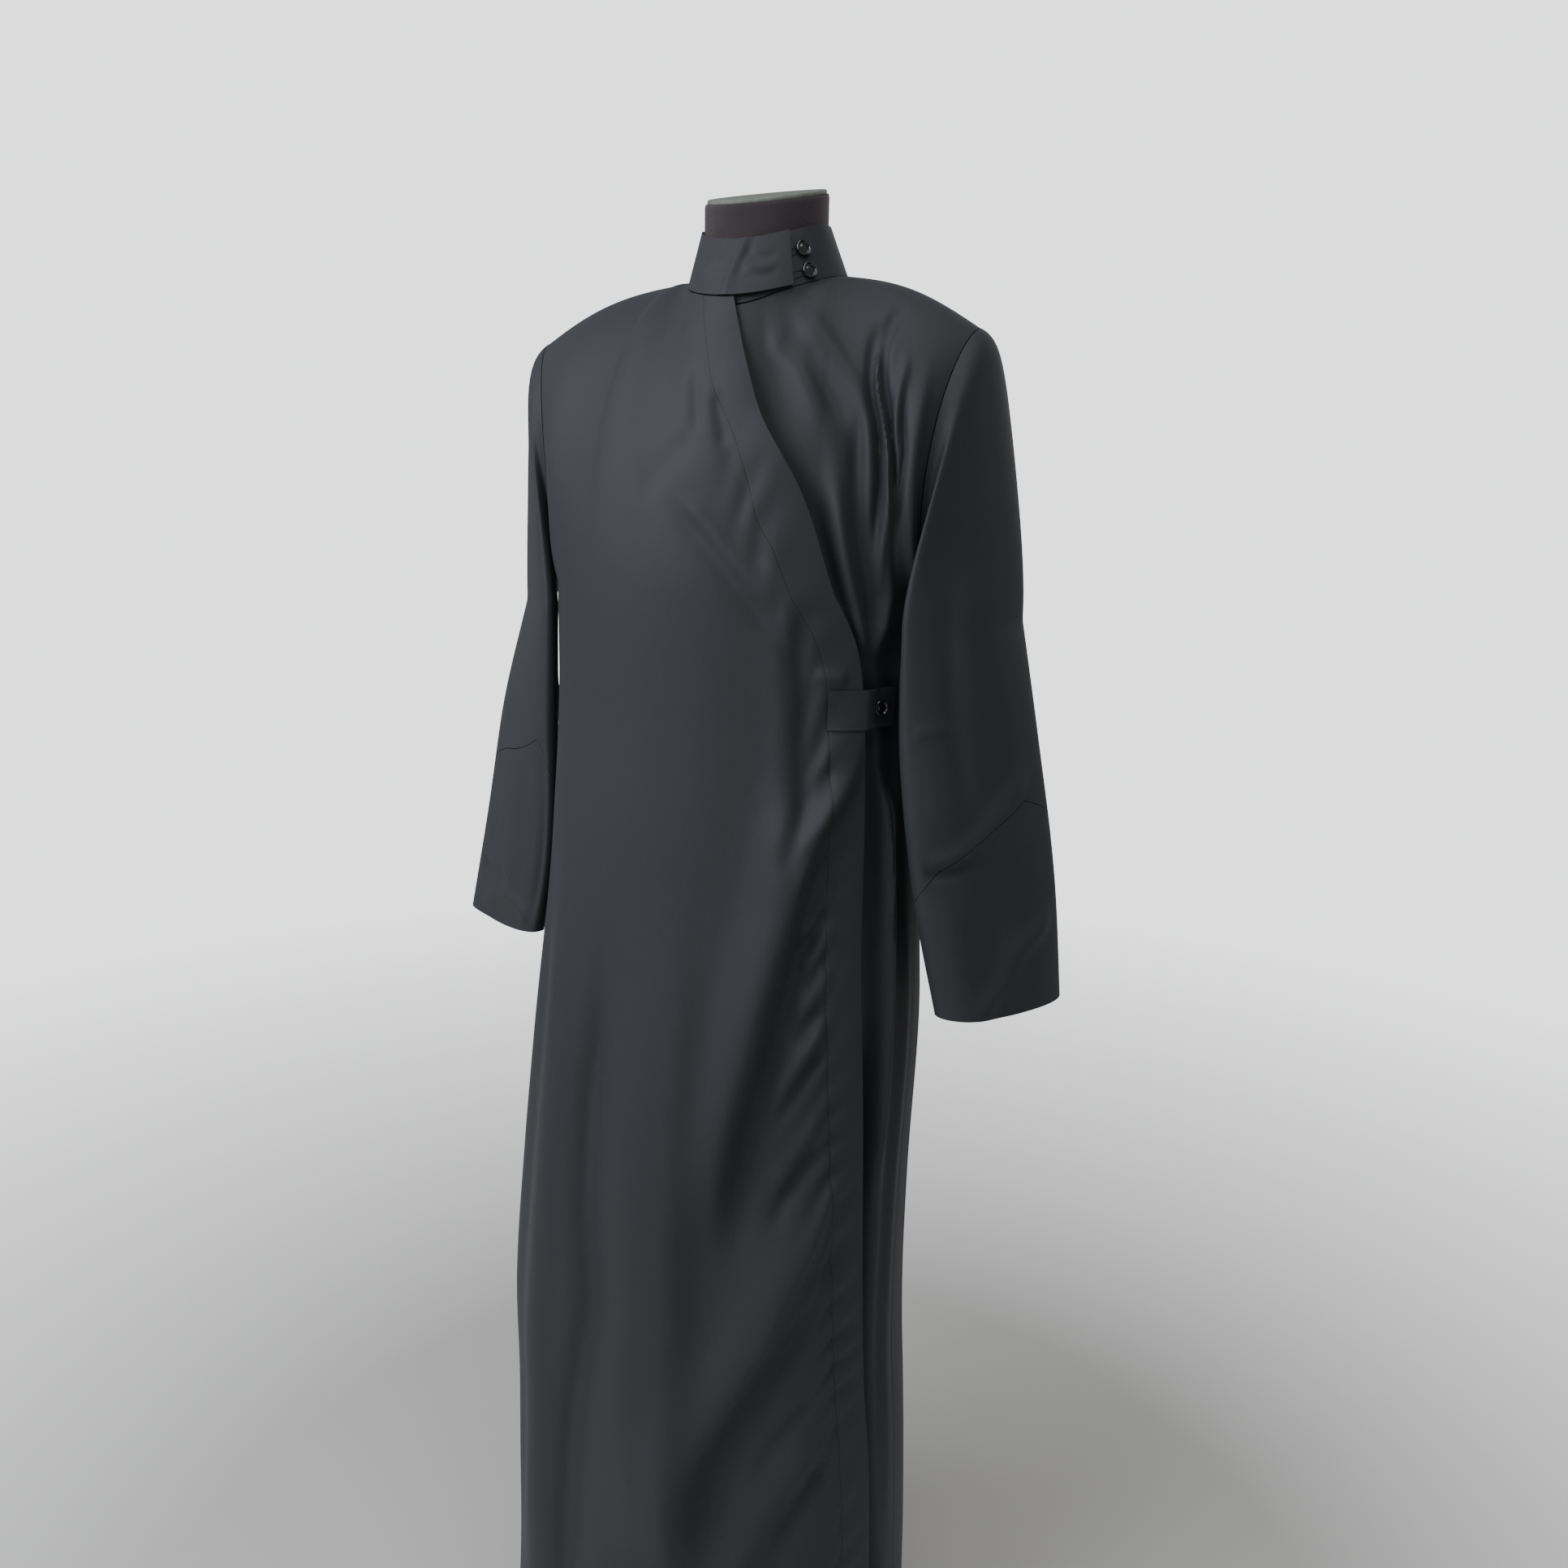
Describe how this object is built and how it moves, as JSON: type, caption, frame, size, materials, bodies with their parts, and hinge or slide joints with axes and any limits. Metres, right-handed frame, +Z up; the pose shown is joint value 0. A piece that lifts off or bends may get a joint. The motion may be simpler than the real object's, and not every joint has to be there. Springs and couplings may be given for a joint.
{
  "type": "cassock on a dress form",
  "caption": "Full-length wrap cassock in thin black cloth, with a stand collar, a diagonal front band and a side waist tab, standing on a limbless dress form with a round base.",
  "frame": {"origin": "middle of the stand base's underside, on the floor", "axes": "+Z up, -Y towards the front of the garment, +X towards the wearer's left"},
  "size_m": [0.7312, 0.3958, 1.7451],
  "materials": {
    "black_suiting": "thin smooth suiting with a slight satin sheen",
    "black_button": "polished",
    "form_cover": "matt knitted cover stretched over the form",
    "neck_cap": "matt",
    "stand_metal": "satin dark grey"
  },
  "bodies": {
    "root": {"front_right": "black_suiting", "front_left": "black_suiting", "back": "black_suiting", "band_upright": "black_suiting", "band_diagonal": "black_suiting", "waist_tab": "black_suiting", "collar": "black_suiting", "sleeve_left_upper": "black_suiting", "sleeve_left_lower": "black_suiting", "sleeve_right_upper": "black_suiting", "sleeve_right_lower": "black_suiting", "collar_button_upper": "black_button", "collar_button_lower": "black_button", "waist_button": "black_button", "form_torso": "form_cover", "form_neck_cap": "neck_cap", "stand_base": "stand_metal", "stand_pole": "stand_metal", "stand_socket": "stand_metal"}
  },
  "joints": []
}
